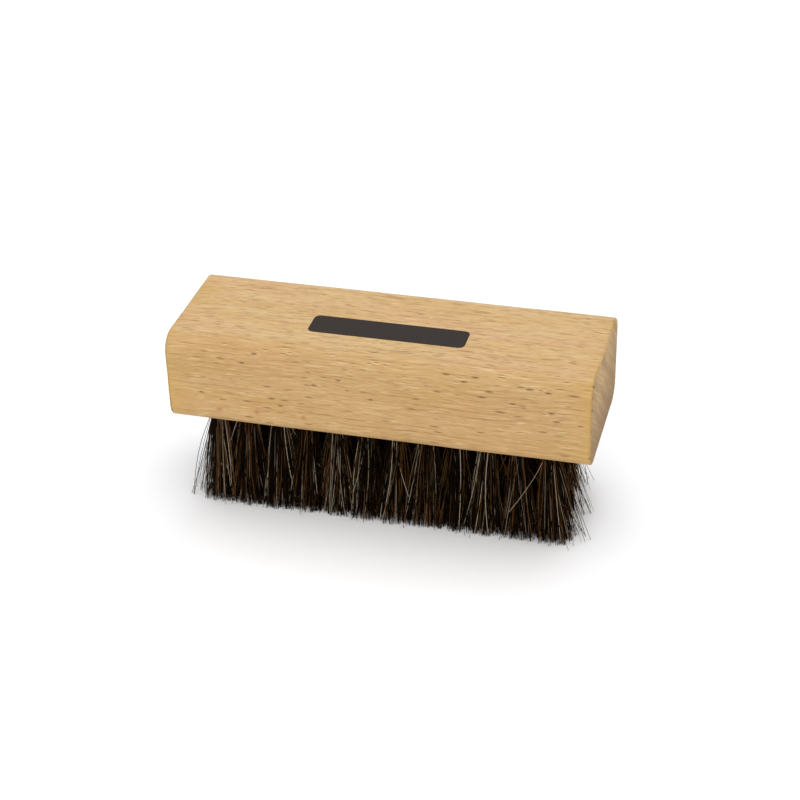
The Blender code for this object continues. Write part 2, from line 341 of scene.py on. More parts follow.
class HairSettings(bpy.types.PropertyGroup):
    """Sizes and colours of the horsehair tufts."""

    hairs: IntProperty(name="Hairs", description="Folded hairs in a tuft, two legs each", default=225, min=1)
    thickness: length("Thickness", "Diameter of a middling hair", 0.18 * MM)
    thickness_spread: share("Thickness spread", "Share by which hairs are thinner or thicker", 0.32)
    pale_thickness: share("Pale thickness", "Of the palest hairs, as a share of the dark ones'", 0.76)
    mouth_fill: share("Mouth fill", "Share of the hole's mouth that the hairs fill", 0.9)
    spread_along: ratio("Spread along", "Width at the tips over that at the hole, along X", 2.2)
    spread_across: ratio("Spread across", "Width at the tips over that at the hole, along Y", 2.5)
    lean_out: length("Lean out", "How far the outer rows lean out at their tips", 4.2 * MM)
    lean_left: length("Lean left", "How far the last tufts at the left lean out", -1.0 * MM)
    lean_right: length("Lean right", "How far the last tufts at the right lean out", 1.2 * MM)
    lean_twist: length("Lean twist", "How much further the last tuft in front leans out", 1.2 * MM)
    locks: IntProperty(name="Locks", description="Groups that a tuft's hairs gather in", default=20, min=1)
    gather: share("Gather", "How far a tip is drawn to the middle of its lock", 0.22)
    wander: length("Wander", "Spread of a hair's tip about its place, along X", 1.3 * MM)
    wander_across: share("Wander across", "The same along Y, as a share of that", 0.32)
    bow: length("Bow", "How far a hair bends off a straight line", 0.5 * MM)
    wayward: share("Wayward", "Share of hairs that stray far from their tuft", 0.09)
    wayward_reach: length("Wayward reach", "The furthest that those stray", 6 * MM)
    loose: share("Loose", "Share of hairs that curl away across their neighbours", 0.010)
    loose_reach: length("Loose reach", "How far a loose hair runs to the side", 12 * MM)
    unevenness: length("Unevenness", "How far above the trimmed plane tips end", 0.1 * MM)
    short: share("Short", "Share of hairs whose tips broke off higher up", 0.02)
    short_reach: length("Short reach", "The most that a broken hair lacks", 8 * MM)
    seed: IntProperty(name="Seed", description="Changes every hair", default=7)
    black: colour("Black", "Most of the hairs", "#0C0501")
    brown: colour("Brown", "Dark brown hairs", "#24160A")
    auburn: colour("Auburn", "Yellowish brown hairs", "#614422")
    chestnut: colour("Chestnut", "Reddish brown hairs", "#794B20")
    grey: colour("Grey", "Grey-beige hairs", "#6A5A42")
    white: colour("White", "The few nearly white hairs", "#DACCB4")


class AnchorSettings(bpy.types.PropertyGroup):
    """Sizes of the flat wires that hold the tufts."""

    thickness: length("Thickness", "Of the flat wire, along X", 0.5 * MM)
    height: length("Height", "Of the flat wire", 1.6 * MM)
    below_fold: length("Below the fold", "From the top of the folded hair to the wire's middle", 3.16 * MM)
    steel: colour("Steel", "Zinc-coated wire", "#B9BBBC")


class MarkSettings(bpy.types.PropertyGroup):
    """Size and colour of the plain bar printed on top."""

    length: length("Length", "Along X", 44.6 * MM)
    width: length("Width", "Along Y", 9.4 * MM)
    middle_x: length("Middle X", "Of the bar", 0.0)
    middle_y: length("Middle Y", "Of the bar", -4.2 * MM)
    corner: length("Corner radius", "Of the bar", 1.8 * MM)
    ink_depth: length("Ink depth", "Thickness of the ink on the wood", 0.02 * MM)
    ink: colour("Ink", "Warm black ink", "#2B2420")


class StageSettings(bpy.types.PropertyGroup):
    """Floor, light and camera."""

    floor_side: length("Floor side", "Of the square floor", 24.0)
    floor: colour("Floor", "Matt pale board", "#F9FAFC")
    camera: FloatVectorProperty(
        name="Camera", description="Its place", default=(0.12416, -0.45114, 0.31848), subtype="TRANSLATION"
    )
    yaw: angle("Yaw", "Camera's turn to the left", 15.19)
    pitch: angle("Pitch", "How far the camera looks down", 31.64)
    roll: angle("Roll", "Camera's turn about its own axis", 1.30)
    lens: ratio("Lens", "Focal length in millimetres", 86.83)
    world_light: ratio("World light", "Strength of the white room", 0.86)
    top_light: ratio("Top light", "Watts of the softbox above", 4.5)
    front_light: ratio("Front light", "Watts of the softbox in front", 4.0)


class BrushSettings(bpy.types.PropertyGroup):
    """All settings of the brush, one group for each kind of piece."""

    block: PointerProperty(type=BlockSettings)
    hair: PointerProperty(type=HairSettings)
    anchor: PointerProperty(type=AnchorSettings)
    mark: PointerProperty(type=MarkSettings)
    stage: PointerProperty(type=StageSettings)


# Meshes from arrays


def mesh_from_arrays(name, points, *face_groups):
    """A mesh with these points. Each group of faces is an array of faces by corners."""
    mesh = bpy.data.meshes.new(name)
    sizes = np.concatenate([np.full(len(group), group.shape[1]) for group in face_groups])
    corners = np.concatenate([group.ravel() for group in face_groups])
    mesh.vertices.add(len(points))
    mesh.vertices.foreach_set("co", np.ascontiguousarray(points, dtype=np.float32).ravel())
    mesh.loops.add(len(corners))
    mesh.loops.foreach_set("vertex_index", corners.astype(np.int32))
    mesh.polygons.add(len(sizes))
    mesh.polygons.foreach_set("loop_start", (np.cumsum(sizes) - sizes).astype(np.int32))
    mesh.update(calc_edges=True)
    mesh.shade_smooth()
    return mesh


def tube_faces(tubes, rings, sides):
    """Walls and two caps of tubes whose points run tube by tube, ring by ring, side by side.

    A wall's corners are the two ends of a side and the same two on the next ring.
    """
    index = np.arange(tubes * rings * sides).reshape(tubes, rings, sides)
    after = np.roll(index, -1, axis=2)
    walls = np.stack([index[:, :-1], after[:, :-1], after[:, 1:], index[:, 1:]], axis=-1)
    caps = np.concatenate([index[:, 0, ::-1], index[:, -1]])
    return walls.reshape(-1, 4), caps


def rounded_rectangle(half_width, half_height, radius, step, arc_steps):
    """Points round a rectangle with true arcs at its corners, anticlockwise, and their outward normals.

    Each corner is a quarter circle about a point one radius in from both sides. The straight sides
    between them are divided evenly, no coarser than the step.
    """
    points, normals = [], []
    quarter = np.linspace(0, math.pi / 2, arc_steps + 1)
    for k, (x, y) in enumerate(((1, 1), (-1, 1), (-1, -1), (1, -1))):
        turn = quarter + k * math.pi / 2
        way = np.stack([np.cos(turn), np.sin(turn)], axis=1)
        points.append(np.array([x * (half_width - radius), y * (half_height - radius)]) + radius * way)
        normals.append(way)
        straight = 2 * ((half_width if k % 2 == 0 else half_height) - radius)
        count = max(1, math.ceil(straight / step))
        run = straight * np.arange(1, count)[:, None] / count
        ahead = np.array([-way[-1, 1], way[-1, 0]])
        points.append(points[-1][-1] + run * ahead)
        normals.append(np.repeat(way[-1:], count - 1, axis=0))
    return np.concatenate(points), np.concatenate(normals)


def gentle_noise(first, second, seed):
    """A smooth random number from -1 to 1 at each pair of coordinates, as a mean of sine waves."""
    chance = np.random.default_rng(seed)
    total = np.zeros(np.broadcast(first, second).shape)
    for _ in range(NOISE_WAVES):
        a, b = chance.uniform(*NOISE_PACES, 2)
        phase = chance.uniform(0, 2 * math.pi)
        total += np.sin(a * first + b * second + phase)
    return total / NOISE_WAVES


def in_scene(name, data):
    """A new object of the scene with this mesh, light or camera."""
    item = bpy.data.objects.new(name, data)
    bpy.context.scene.collection.objects.link(item)
    return item


def piece_from(name, mesh, material, body="root"):
    """An object that shows this mesh, wears this material and rides on a body of the frame."""
    mesh.materials.append(material)
    piece = in_scene(name, mesh)
    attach(piece, body)
    return piece


# Materials


def connect(tree, node, inputs):
    """Sets a node's inputs, and links those whose value is a socket, or a node for its first output."""
    for key, value in inputs.items():
        if isinstance(value, bpy.types.Node):
            value = value.outputs[0]
        if isinstance(value, bpy.types.NodeSocket):
            tree.links.new(value, node.inputs[key])
        else:
            node.inputs[key].default_value = value


def add_node(tree, kind, inputs=None, **settings):
    """Adds a shader node with these inputs and settings."""
    node = tree.nodes.new(f"ShaderNode{kind}")
    for name, value in settings.items():
        setattr(node, name, value)
    connect(tree, node, inputs or {})
    return node


def new_material(name):
    """A material, its node tree and its Principled shader."""
    material = bpy.data.materials.new(name)
    material.use_nodes = True
    return material, material.node_tree, material.node_tree.nodes["Principled BSDF"]


def set_ramp(ramp, stops):
    """Gives a colour ramp these stops, each a place from 0 to 1 and a colour."""
    elements = ramp.color_ramp.elements
    while len(elements) > 1:
        elements.remove(elements[-1])
    elements[0].position, elements[0].color = stops[0][0], opaque(stops[0][1])
    for place, tone in stops[1:]:
        elements.new(place).color = opaque(tone)


def cells_to_a_metre(cell):
    """How many cells with these sides, in millimetres, a metre holds each way."""
    return tuple(1 / (side * MM) for side in cell)


def spots(tree, place, kind):
    """How much of a spot shows: noise over a place counted in cells, stretched from none to full."""
    scale = cells_to_a_metre(kind.cell)
    counted = add_node(tree, "Mapping", {"Vector": place, "Location": (kind.seed,) * 3, "Scale": scale})
    noise = add_node(tree, "TexNoise", {"Vector": counted, "Scale": 1.0, "Detail": kind.detail})
    stretch = {"Value": noise, "From Min": kind.none, "From Max": kind.full}
    return add_node(tree, "MapRange", stretch, interpolation_type="SMOOTHSTEP")


def grain_place(tree, block):
    """Object coordinates, and the same turned about the block's middle and bent into the tree's own.

    X runs up the trunk, Y outwards and Z round it. A soft noise that is drawn out along the trunk moves
    each point a little, so that no line is straight.
    """
    place = add_node(tree, "TexCoord").outputs["Object"]
    middle = Matrix.Rotation(block.ring_angle, 3, "X") @ (BLOCK_HIGH + BLOCK_LOW) / 2
    turn = {"Vector": place, "Location": -middle, "Rotation": (block.ring_angle, 0, 0)}
    turned = add_node(tree, "Mapping", turn)
    counted = add_node(tree, "Mapping", {"Vector": turned, "Scale": cells_to_a_metre(RING_SWAY_CELL)})
    sway = add_node(tree, "TexNoise", {"Vector": counted, "Scale": 1.0, "Detail": 2.0}).outputs["Color"]
    centred = add_node(tree, "VectorMath", {0: sway, 1: (0.5, 0.5, 0.5)}, operation="SUBTRACT")
    bent = add_node(tree, "VectorMath", {0: centred, 1: RING_SWAY, 2: turned}, operation="MULTIPLY_ADD")
    return place, bent


def growth_rings(tree, grain, block):
    """Darkness of the growth rings: the fraction of the distance from the pith, counted in ring widths.

    It darkens slowly outwards and falls back quickly, as late wood ends at a sharp line.
    """
    pith, width = block.pith_distance, block.ring_spacing
    shift = {0: grain, 1: (0, 1 / width, 1 / width), 2: (0, pith / width, 0)}
    from_pith = add_node(tree, "VectorMath", shift, operation="MULTIPLY_ADD")
    count = add_node(tree, "VectorMath", {0: from_pith}, operation="LENGTH").outputs["Value"]
    late = add_node(tree, "ValToRGB", {"Fac": add_node(tree, "Math", {0: count}, operation="FRACT")})
    set_ramp(late, [(place, (level,) * 3) for place, level in RING_DARKNESS])
    return late


def rays(tree, place):
    """Cut rays: a lens at the middle of each Voronoi cell, full, faint or missing by the cell's own luck."""
    counted = add_node(tree, "Mapping", {"Vector": place, "Scale": cells_to_a_metre(RAY_CELL)})
    cells = add_node(tree, "TexVoronoi", {"Vector": counted, "Scale": 1.0})
    fill = {"Value": cells.outputs["Distance"], "From Min": RAY_LENS[0], "From Max": RAY_LENS[1]}
    lens = add_node(tree, "MapRange", fill, interpolation_type="SMOOTHSTEP")
    luck = add_node(tree, "SeparateColor", {"Color": cells.outputs["Color"]}).outputs["Red"]
    kept = {"Value": luck, "From Min": RAY_LUCK[0], "From Max": RAY_LUCK[1], "To Max": lens}
    return add_node(tree, "MapRange", kept)


def round_the_front(around, radius):
    """Y and Z at this distance round the block's section, from the middle of its top over to its front.

    Along the flat top first, then along the quarter circle, then down the flat front.
    """
    flat = -BLOCK_LOW.y - radius
    turn = min(max((around - flat) / radius, 0.0), math.pi / 2)
    past = max(around - flat - radius * math.pi / 2, 0.0)
    y = -min(around, flat) - radius * math.sin(turn)
    return y, BLOCK_HIGH.z - radius * (1 - math.cos(turn)) - past


def single_marks(tree, place, block, kind):
    """Marks on the wood, each inside an ellipsoid that is set where the mark shows: 0 outside all of them.

    The distance from an ellipsoid's middle, in its own half lengths, is the length of a scaled place. The
    least of these distances, and of that at the skin, is turned into 1 near the middle and 0 at the skin.
    """
    width = getattr(block, f"{kind}_width")
    nearest = MARK_FADE[0]
    for x, around, long in MARKS[kind]:
        half = (long * MM / 2, width / 2, width / 2)
        middle = (x * MM, *round_the_front(around * MM, block.edge_radius))
        shift = tuple(-m / h for m, h in zip(middle, half))
        scale = tuple(1 / h for h in half)
        scaled = add_node(tree, "Mapping", {"Vector": place, "Location": shift, "Scale": scale})
        distance = add_node(tree, "VectorMath", {0: scaled}, operation="LENGTH").outputs["Value"]
        nearest = add_node(tree, "Math", {0: distance, 1: nearest}, operation="MINIMUM")
    fade = {"Value": nearest, "From Min": MARK_FADE[0], "From Max": MARK_FADE[1]}
    return add_node(tree, "MapRange", fade)


def zone_masks(tree, place):
    """The value of each zone of the block at a place, by its name."""
    apart = add_node(tree, "SeparateXYZ", {"Vector": place}).outputs
    ways = {
        "back": (apart["Y"], BLOCK_LOW.y, MM),
        "up": (apart["Z"], BLOCK_LOW.z, MM),
        "in": (add_node(tree, "Math", {0: apart["X"]}, operation="ABSOLUTE"), BLOCK_HIGH.x, -MM),
        "right": (apart["X"], 0.0, MM),
    }
    masks = {}
    for name, zone in ZONES.items():
        along, origin, step = ways[zone.way]
        near, far = origin + zone.start * step, origin + zone.stop * step
        span = {"Value": along, "From Min": near, "From Max": far, "To Min": zone.first, "To Max": zone.last}
        masks[name] = add_node(tree, "MapRange", span)
    return masks


def wood_masks(tree, block):
    """All that can show in the wood, by its name: zones, grown figure, chips, single marks and painted
    highlights.
    """
    place, grain = grain_place(tree, block)
    masks = zone_masks(tree, place)
    masks |= {name: spots(tree, grain, kind) for name, kind in FIGURE.items()}
    masks |= {name: spots(tree, place, kind) for name, kind in EDGE_CHIPS.items()}
    masks |= {name: single_marks(tree, place, block, name) for name in MARKS}
    masks["ring"] = growth_rings(tree, grain, block)
    masks["ray"] = rays(tree, grain)

    # Painted highlights: the pores, rays and fine rays again, shifted onto the lip in front of each, for the
    # light that lip catches
    before = add_node(tree, "VectorMath", {0: grain, 1: HIGHLIGHT_SHIFT}, operation="SUBTRACT")
    masks["pore_painted_highlight"] = spots(tree, before, FIGURE["pore"])
    masks["ray_painted_highlight"] = rays(tree, before)
    before = add_node(tree, "VectorMath", {0: place, 1: MARK_HIGHLIGHT_SHIFT}, operation="SUBTRACT")
    masks["fine_ray_painted_highlight"] = single_marks(tree, before, block, "fine_ray")
    return masks


def shown_in(tree, masks, names, strength):
    """The strength where all these masks are full, and less by each of them elsewhere."""
    for name in names:
        strength = add_node(tree, "Math", {0: strength, 1: masks[name]}, operation="MULTIPLY")
    return strength


def painted(tree, base, layers, masks, colours):
    """A base colour with these layers over it, their colours taken from a group of settings."""
    under = opaque(base)
    for strength, tone, *names in layers:
        shown = shown_in(tree, masks, names, strength)
        laid = {MIX_FACTOR: shown, MIX_UNDER: under, MIX_OVER: opaque(getattr(colours, tone))}
        under = add_node(tree, "Mix", laid, data_type="RGBA").outputs[MIX_RESULT]
    return under


def beech_material(block):
    """Beech, planed, sanded and wiped with clear oil.

    Pale warm wood with soft growth rings, thousands of fine dark pore lines along the trunk and short
    dark flecks where rays are cut, each with a painted highlight on its lip, and pale streaks of painted
    sheen along the fibres. The sawn ends drink more oil, so they are duller, darker and banded, with
    painted shade towards their foot, and their edges are tinted and a little nicked.
    """
    material, tree, shader = new_material("beech_sanded_and_oiled")
    masks = wood_masks(tree, block)
    oiled = painted(tree, block.wood, WOOD_LAYERS, masks, block)
    fibre = shown_in(tree, masks, ("fibre", "side"), 1.0)
    smooth = add_node(tree, "MapRange", {"Value": fibre, "To Min": 0.44, "To Max": 0.56})
    rough = add_node(tree, "Math", {0: smooth, 1: masks["end_roughness"]}, operation="ADD")
    sunk = 0.0
    for depth_share, *names in HOLLOWS:
        hollow = shown_in(tree, masks, names, depth_share)
        sunk = add_node(tree, "Math", {0: sunk, 1: hollow}, operation="ADD")
    bump = add_node(tree, "Bump", {"Height": sunk, "Distance": PORE_DEPTH, "Strength": 0.8}, invert=True)
    connect(tree, shader, {"Base Color": oiled, "Roughness": rough, "Normal": bump, "IOR": 1.45})
    return material


def horsehair_material(hair):
    """Natural horsehair, washed and cut, not dyed.

    Smooth and hard, with hardly any gloss on such thin hairs. Most hairs are nearly black, and brown,
    auburn, chestnut, grey and a few white ones run among them, each in one tone from root to tip.
    """
    material, tree, shader = new_material("horsehair_natural")
    tone = add_node(tree, "Attribute", attribute_name="tone").outputs["Fac"]
    ramp = add_node(tree, "ValToRGB", {"Fac": tone})
    set_ramp(ramp, [(place, getattr(hair, name)) for place, name in HAIR_TONES])
    connect(tree, shader, {"Base Color": ramp, "Roughness": 0.45, "IOR": 1.55, "Specular IOR Level": 0.03})
    return material


def steel_material(anchor):
    """Flat steel wire, drawn and zinc-coated: grey, smooth, with faint lines along the draw."""
    material, tree, shader = new_material("steel_wire_zinc_coated")
    lines = spots(tree, add_node(tree, "TexCoord").outputs["Object"], DRAWN_LINE)
    rough = add_node(tree, "MapRange", {"Value": lines, "To Min": 0.28, "To Max": 0.42})
    connect(tree, shader, {"Base Color": opaque(anchor.steel), "Roughness": rough, "Metallic": 1.0})
    return material


def ink_material(mark, block):
    """Warm black ink, pad-printed on oiled beech: matt and even, with the pores of the wood just showing."""
    material, tree, shader = new_material("ink_pad_printed")
    _, grain = grain_place(tree, block)
    pore = spots(tree, grain, FIGURE["pore"])
    inked = painted(tree, mark.ink, INK_LAYERS, {"pore": pore}, block)
    rough = add_node(tree, "MapRange", {"Value": pore, "To Min": 0.5, "To Max": 0.62})
    connect(tree, shader, {"Base Color": inked, "Roughness": rough, "IOR": 1.48, "Specular IOR Level": 0.12})
    return material


# The pieces


def knot_box(node):
    """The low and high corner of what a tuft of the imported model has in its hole: its knot and anchor."""
    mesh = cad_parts[node].data
    points = np.empty(len(mesh.vertices) * 3, np.float32)
    mesh.vertices.foreach_get("co", points)
    points = points.reshape(-1, 3)
    inside = points[points[:, 2] > BLOCK_LOW.z + MOUTH_DEPTH]
    return inside.min(axis=0), inside.max(axis=0)


KNOTS = {node: knot_box(node) for node in TUFTS}
FIELD_LOW = np.min([low for low, _ in KNOTS.values()], axis=0)
FIELD_HIGH = np.max([high for _, high in KNOTS.values()], axis=0)
LAST_MIDDLE = np.max([(low + high) / 2 for low, high in KNOTS.values()], axis=0)


def block_mesh(block):
    """The block's outside: a rounded rectangle carried along X, drawn in at both ends by a quarter circle.

    The radius of that quarter circle varies along the arris, as a hand-eased edge does, and the rounded
    long edges stray from true by a gentle noise. The flats stay flat.
    """
    half = np.array(BLOCK_HIGH - BLOCK_LOW) / 2
    outline, normals = rounded_rectangle(half[1], half[2], block.edge_radius, FLAT_STEP, ARC_STEPS)
    turn = np.arctan2(normals[:, 1], normals[:, 0])
    bend = np.linspace(0, math.pi / 2, ARRIS_STEPS + 1)[:-1, None]
    left, right = (
        block.arris * (1 + ARRIS_STRAY_SHARE * gentle_noise(*outline.T / ARRIS_WAVE, seed))
        for seed in ARRIS_SEEDS
    )
    along = np.linspace(0, 1, round(2 * half[0] / FLAT_STEP))[:, None]
    x = np.concatenate([
        left * (1 - np.cos(bend)) - half[0],
        (left - half[0]) * (1 - along) + (half[0] - right) * along,
        half[0] - right * (1 - np.cos(bend[::-1])),
    ])
    inset = np.concatenate([left * (1 - np.sin(bend)), 0 * along * left, right * (1 - np.sin(bend[::-1]))])
    rounded = 2 * np.abs(normals[:, 0] * normals[:, 1])
    stray = block.hand_sanding * rounded * gentle_noise(x / SANDING_WAVE, SANDING_TURNS * turn, SANDING_SEED)
    across = outline + (stray - inset)[..., None] * normals
    points = np.concatenate([x[..., None], across], axis=-1) + np.array(BLOCK_HIGH + BLOCK_LOW) / 2
    return mesh_from_arrays("beech_block", points.reshape(-1, 3), *tube_faces(1, *x.shape))


def drill_mesh(block):
    """Every drilled hole as a solid: a cylinder about each knot, from below the block up to a blunt cone."""
    turn = np.arange(DRILL_SIDES) * 2 * math.pi / DRILL_SIDES
    circle = np.stack([np.cos(turn), np.sin(turn), 0 * turn], axis=1)
    middles = np.array([(low + high) / 2 for low, high in KNOTS.values()]) * (1, 1, 0)
    end = FIELD_HIGH[2] + block.hole_clearance
    rings = (
        (block.hole_radius, BLOCK_LOW.z - block.hole_radius),
        (block.hole_radius, end),
        (block.hole_radius * DRILL_TIP_SHARE, end + block.drill_point),
    )
    points = np.stack([middles[:, None] + radius * circle + (0, 0, z) for radius, z in rings], axis=1)
    return mesh_from_arrays("drills", points.reshape(-1, 3), *tube_faces(len(middles), 3, DRILL_SIDES))


def drilled(piece, cutter):
    """Cuts the cutter out of a piece for good, and marks the square edges sharp."""
    cut = piece.modifiers.new("holes", "BOOLEAN")
    cut.operation, cut.solver, cut.object = "DIFFERENCE", "EXACT", cutter
    bpy.context.view_layer.update()
    mesh = bpy.data.meshes.new_from_object(piece.evaluated_get(bpy.context.evaluated_depsgraph_get()))
    piece.modifiers.remove(cut)
    piece.data = mesh
    mesh.set_sharp_from_angle(angle=SHARP_ANGLE)
    bpy.data.objects.remove(cutter)
    even = piece.modifiers.new("flats stay flat", "WEIGHTED_NORMAL")
    even.keep_sharp = True


def leg_lines(root, at, hair, chance):
    """The hanging legs of one tuft's hairs, from the mouth of the hole to the tip, one leg for each root.

    A tip lies at the root's place in the hole, widened and leaned out, with a random step, and is then
    drawn towards the nearest of the tips that lead the locks. Between root and tip the leg's place is the
    root plus the whole way times the fall to a power, plus a half sine wave.
    """
    count = len(root)
    outward = np.sign(at)
    stray = chance.normal(0, hair.wander, (count, 2)) * (1, hair.wander_across)
    wayward = chance.uniform(0, 1, count) < hair.wayward
    loose = chance.uniform(0, 1, count) < hair.loose
    short = chance.uniform(0, 1, count) < hair.short
    reach = chance.uniform(LEAST_REACH_SHARE, 1, (count, 2))
    side = np.where(chance.uniform(0, 1, count) < 0.5, -1.0, 1.0)

    stray[wayward] = np.clip(stray[wayward] * WAYWARD_TIMES, -hair.wayward_reach, hair.wayward_reach)
    if abs(at[0]) > LAST_TUFT_SHARE:
        stray[wayward, 0] = outward[0] * np.abs(stray[wayward, 0])
        side[:] = -outward[0]
    sideways = np.stack([side, LOOSE_OUT_SHARE * outward[1] * np.ones(count)], axis=1)
    stray[loose] = (sideways * hair.loose_reach * reach)[loose]
    lean_end = hair.lean_right - hair.lean_twist * at[1] if at[0] > 0 else -hair.lean_left
    lean = np.array([lean_end * at[0] ** END_LEAN_POWER, hair.lean_out * at[1]])
    way = root * (hair.spread_along - 1, hair.spread_across - 1) + lean + stray
    tip = root + way
    leader = tip[chance.choice(count, hair.locks, replace=False)]
    nearest = np.argmin(np.linalg.norm(tip[:, None] - leader, axis=2), axis=1)
    way += np.where(wayward | loose, 0, hair.gather)[:, None] * (leader[nearest] - tip)

    bow = chance.normal(0, hair.bow, (count, 2)) * np.where(wayward, WAYWARD_BOW_TIMES, 1.0)[:, None]
    height = np.abs(chance.normal(0, hair.unevenness, count))
    height[short] += hair.short_reach * reach[short, 0]
    height[loose] += hair.short_reach * LOOSE_LIFT_TIMES * reach[loose, 1]

    fall = np.linspace(0, 1, LEG_RINGS)[None, :, None]
    power = np.where(loose, LOOSE_FALL_POWER, FALL_POWER)[:, None, None]
    flat = root[:, None] + way[:, None] * fall**power + bow[:, None] * np.sin(math.pi * fall)
    down = BLOCK_LOW.z + (height[:, None] - BLOCK_LOW.z) * fall[..., 0]
    return np.concatenate([flat, down[..., None]], axis=-1), wayward | loose


def hair_lines(low, high, hair, anchor, hole_radius, chance):
    """The centre line of each folded hair of one tuft, as an array of hairs by rings by XYZ.

    The roots fill half of the bundle evenly, on one side of the wire. A hair's two legs run up the hole on
    either side, as far from the wire as the hair lies out in the bundle, and a half ellipse over the wire
    joins them. At the hole's mouth the bundle has swelled to fill it. Also returns how far down its leg
    each ring lies, and which hairs are strays.
    """
    count = hair.hairs
    middle = (low + high) / 2
    width = (high[0] - low[0]) / 2
    radius = width * np.sqrt(chance.uniform(0, 1, count))
    turn = chance.uniform(-math.pi / 2, math.pi / 2, count)
    clear = (anchor.thickness + hair.thickness) / 2
    out = clear + radius * np.cos(turn) * (1 - clear / width)
    across = radius * np.sin(turn)

    at = (middle - (FIELD_LOW + FIELD_HIGH) / 2)[:2] / (LAST_MIDDLE - (FIELD_LOW + FIELD_HIGH) / 2)[:2]
    fill = hair.mouth_fill * (hole_radius - hair.thickness) / width
    left, left_strays = leg_lines(fill * np.stack([-out, across], axis=1), at, hair, chance)
    right, right_strays = leg_lines(fill * np.stack([out, across], axis=1), at, hair, chance)

    wire_top = high[2] - anchor.below_fold + anchor.height / 2
    rise = (high[2] - hair.thickness - wire_top) * out / (clear + width)
    fold = np.stack([
        -out[:, None] * np.cos(FOLD_ANGLES),
        np.repeat(across[:, None], len(FOLD_ANGLES), axis=1),
        wire_top + rise[:, None] * np.sin(FOLD_ANGLES),
    ], axis=-1)
    line = np.concatenate([left[:, ::-1], fold, right], axis=1)
    line[..., :2] += middle[:2]
    fall = np.linspace(0, 1, LEG_RINGS)
    along = np.concatenate([fall[::-1], np.zeros(len(FOLD_ANGLES)), fall])
    return line, along, left_strays | right_strays


def tubes_along(line, radius):
    """Round each centre line, a ring at each of its points, square to the line's run there.

    The ring's first direction is square to the run and to Y, which no hair follows for long, and the
    second is square to both.
    """
    run = np.gradient(line, axis=1)
    run /= np.linalg.norm(run, axis=-1, keepdims=True)
    first = np.cross(run, (0.0, 1.0, 0.0))
    first /= np.linalg.norm(first, axis=-1, keepdims=True)
    second = np.cross(run, first)
    turn = np.arange(HAIR_SIDES) * 2 * math.pi / HAIR_SIDES
    way = first[..., None, :] * np.cos(turn)[:, None] + second[..., None, :] * np.sin(turn)[:, None]
    return line[..., None, :] + radius[..., None, None] * way


def hair_map(mesh, count, rings):
    """A UV map for the bake: a square cell for each hair, its sides across the cell and its rings up it."""
    columns = math.ceil(math.sqrt(count))
    cell = np.arange(count)
    corner = np.stack([cell % columns, cell // columns], axis=1) / columns
    side, ring = np.meshgrid(np.arange(HAIR_SIDES), np.arange(rings - 1))
    quad = np.array([[0, 0], [1, 0], [1, 1], [0, 1]])
    within = (np.stack([side, ring], axis=-1)[:, :, None] + quad) / (HAIR_SIDES, rings + 1)
    walls = corner[:, None, None, None] + within * CELL_FILL_SHARE / columns
    cap = (np.array(CAP_SHARES) + (0, rings - 1)) / (1, rings + 1)
    starts = corner[:, None] + cap * CELL_FILL_SHARE / columns
    ends = starts + np.array(CAP_STEP_SHARES) * CELL_FILL_SHARE / columns
    places = np.concatenate([part.ravel() for part in (walls, starts, ends)]).astype(np.float32)
    mesh.uv_layers.new(name=BAKE_MAP).uv.foreach_set("vector", places)


def tuft_mesh(name, low, high, settings, chance):
    """One tuft: tubes of three sides along its folded hairs, a little thinner towards their tips.

    A hair's tone is a random number to a power that differs from tuft to tuft, and strays lean to the
    pale side.
    """
    hair = settings.hair
    line, along, stray = hair_lines(low, high, hair, settings.anchor, settings.block.hole_radius, chance)
    count, rings = line.shape[:2]
    tone = chance.uniform(0, 1, count) ** chance.uniform(*TONE_POWERS)
    tone[stray] = chance.uniform(*STRAY_TONES, stray.sum())
    own = 1 + hair.thickness_spread * chance.uniform(-1, 1, count)
    own *= 1 - (1 - hair.pale_thickness) * tone**PALE_POWER
    radius = hair.thickness / 2 * own[:, None] * (1 - TAPER_SHARE * along**2)
    points = tubes_along(line, radius)
    mesh = mesh_from_arrays(name, points.reshape(-1, 3), *tube_faces(count, rings, HAIR_SIDES))
    hair_map(mesh, count, rings)
    values = np.repeat(tone, rings * HAIR_SIDES).astype(np.float32)
    mesh.attributes.new("tone", "FLOAT", "POINT").data.foreach_set("value", values)
    return mesh


def wire_mesh(anchor):
    """Every anchor: a flat wire with rounded edges, carried along Y through its tuft's fold."""
    edge = anchor.thickness / 2
    corner = edge * WIRE_ROUND_SHARE
    outline, _ = rounded_rectangle(edge, anchor.height / 2, corner, anchor.height, WIRE_ARC_STEPS)
    flat = np.insert(outline, 1, 0, axis=1)
    ends = [
        flat + ((low[0] + high[0]) / 2, y, high[2] - anchor.below_fold)
        for low, high in KNOTS.values()
        for y in (high[1], low[1])
    ]
    return mesh_from_arrays("anchor_wires", np.concatenate(ends), *tube_faces(len(KNOTS), 2, len(outline)))


def bar_mesh(mark):
    """The printed bar: a rounded rectangle with slightly ragged edges, as thick as the ink."""
    half_width, half_height = mark.length / 2, mark.width / 2
    outline, normals = rounded_rectangle(half_width, half_height, mark.corner, BAR_STEP, BAR_ARC_STEPS)
    ragged = INK_STRAY * gentle_noise(*outline.T / INK_WAVE, INK_SEED)
    outline = outline + ragged[:, None] * normals + (mark.middle_x, mark.middle_y)
    heights = (BLOCK_HIGH.z - mark.ink_depth, BLOCK_HIGH.z + mark.ink_depth)
    points = [np.insert(outline, 2, z, axis=1) for z in heights]
    return mesh_from_arrays("printed_bar", np.concatenate(points), *tube_faces(1, 2, len(outline)))


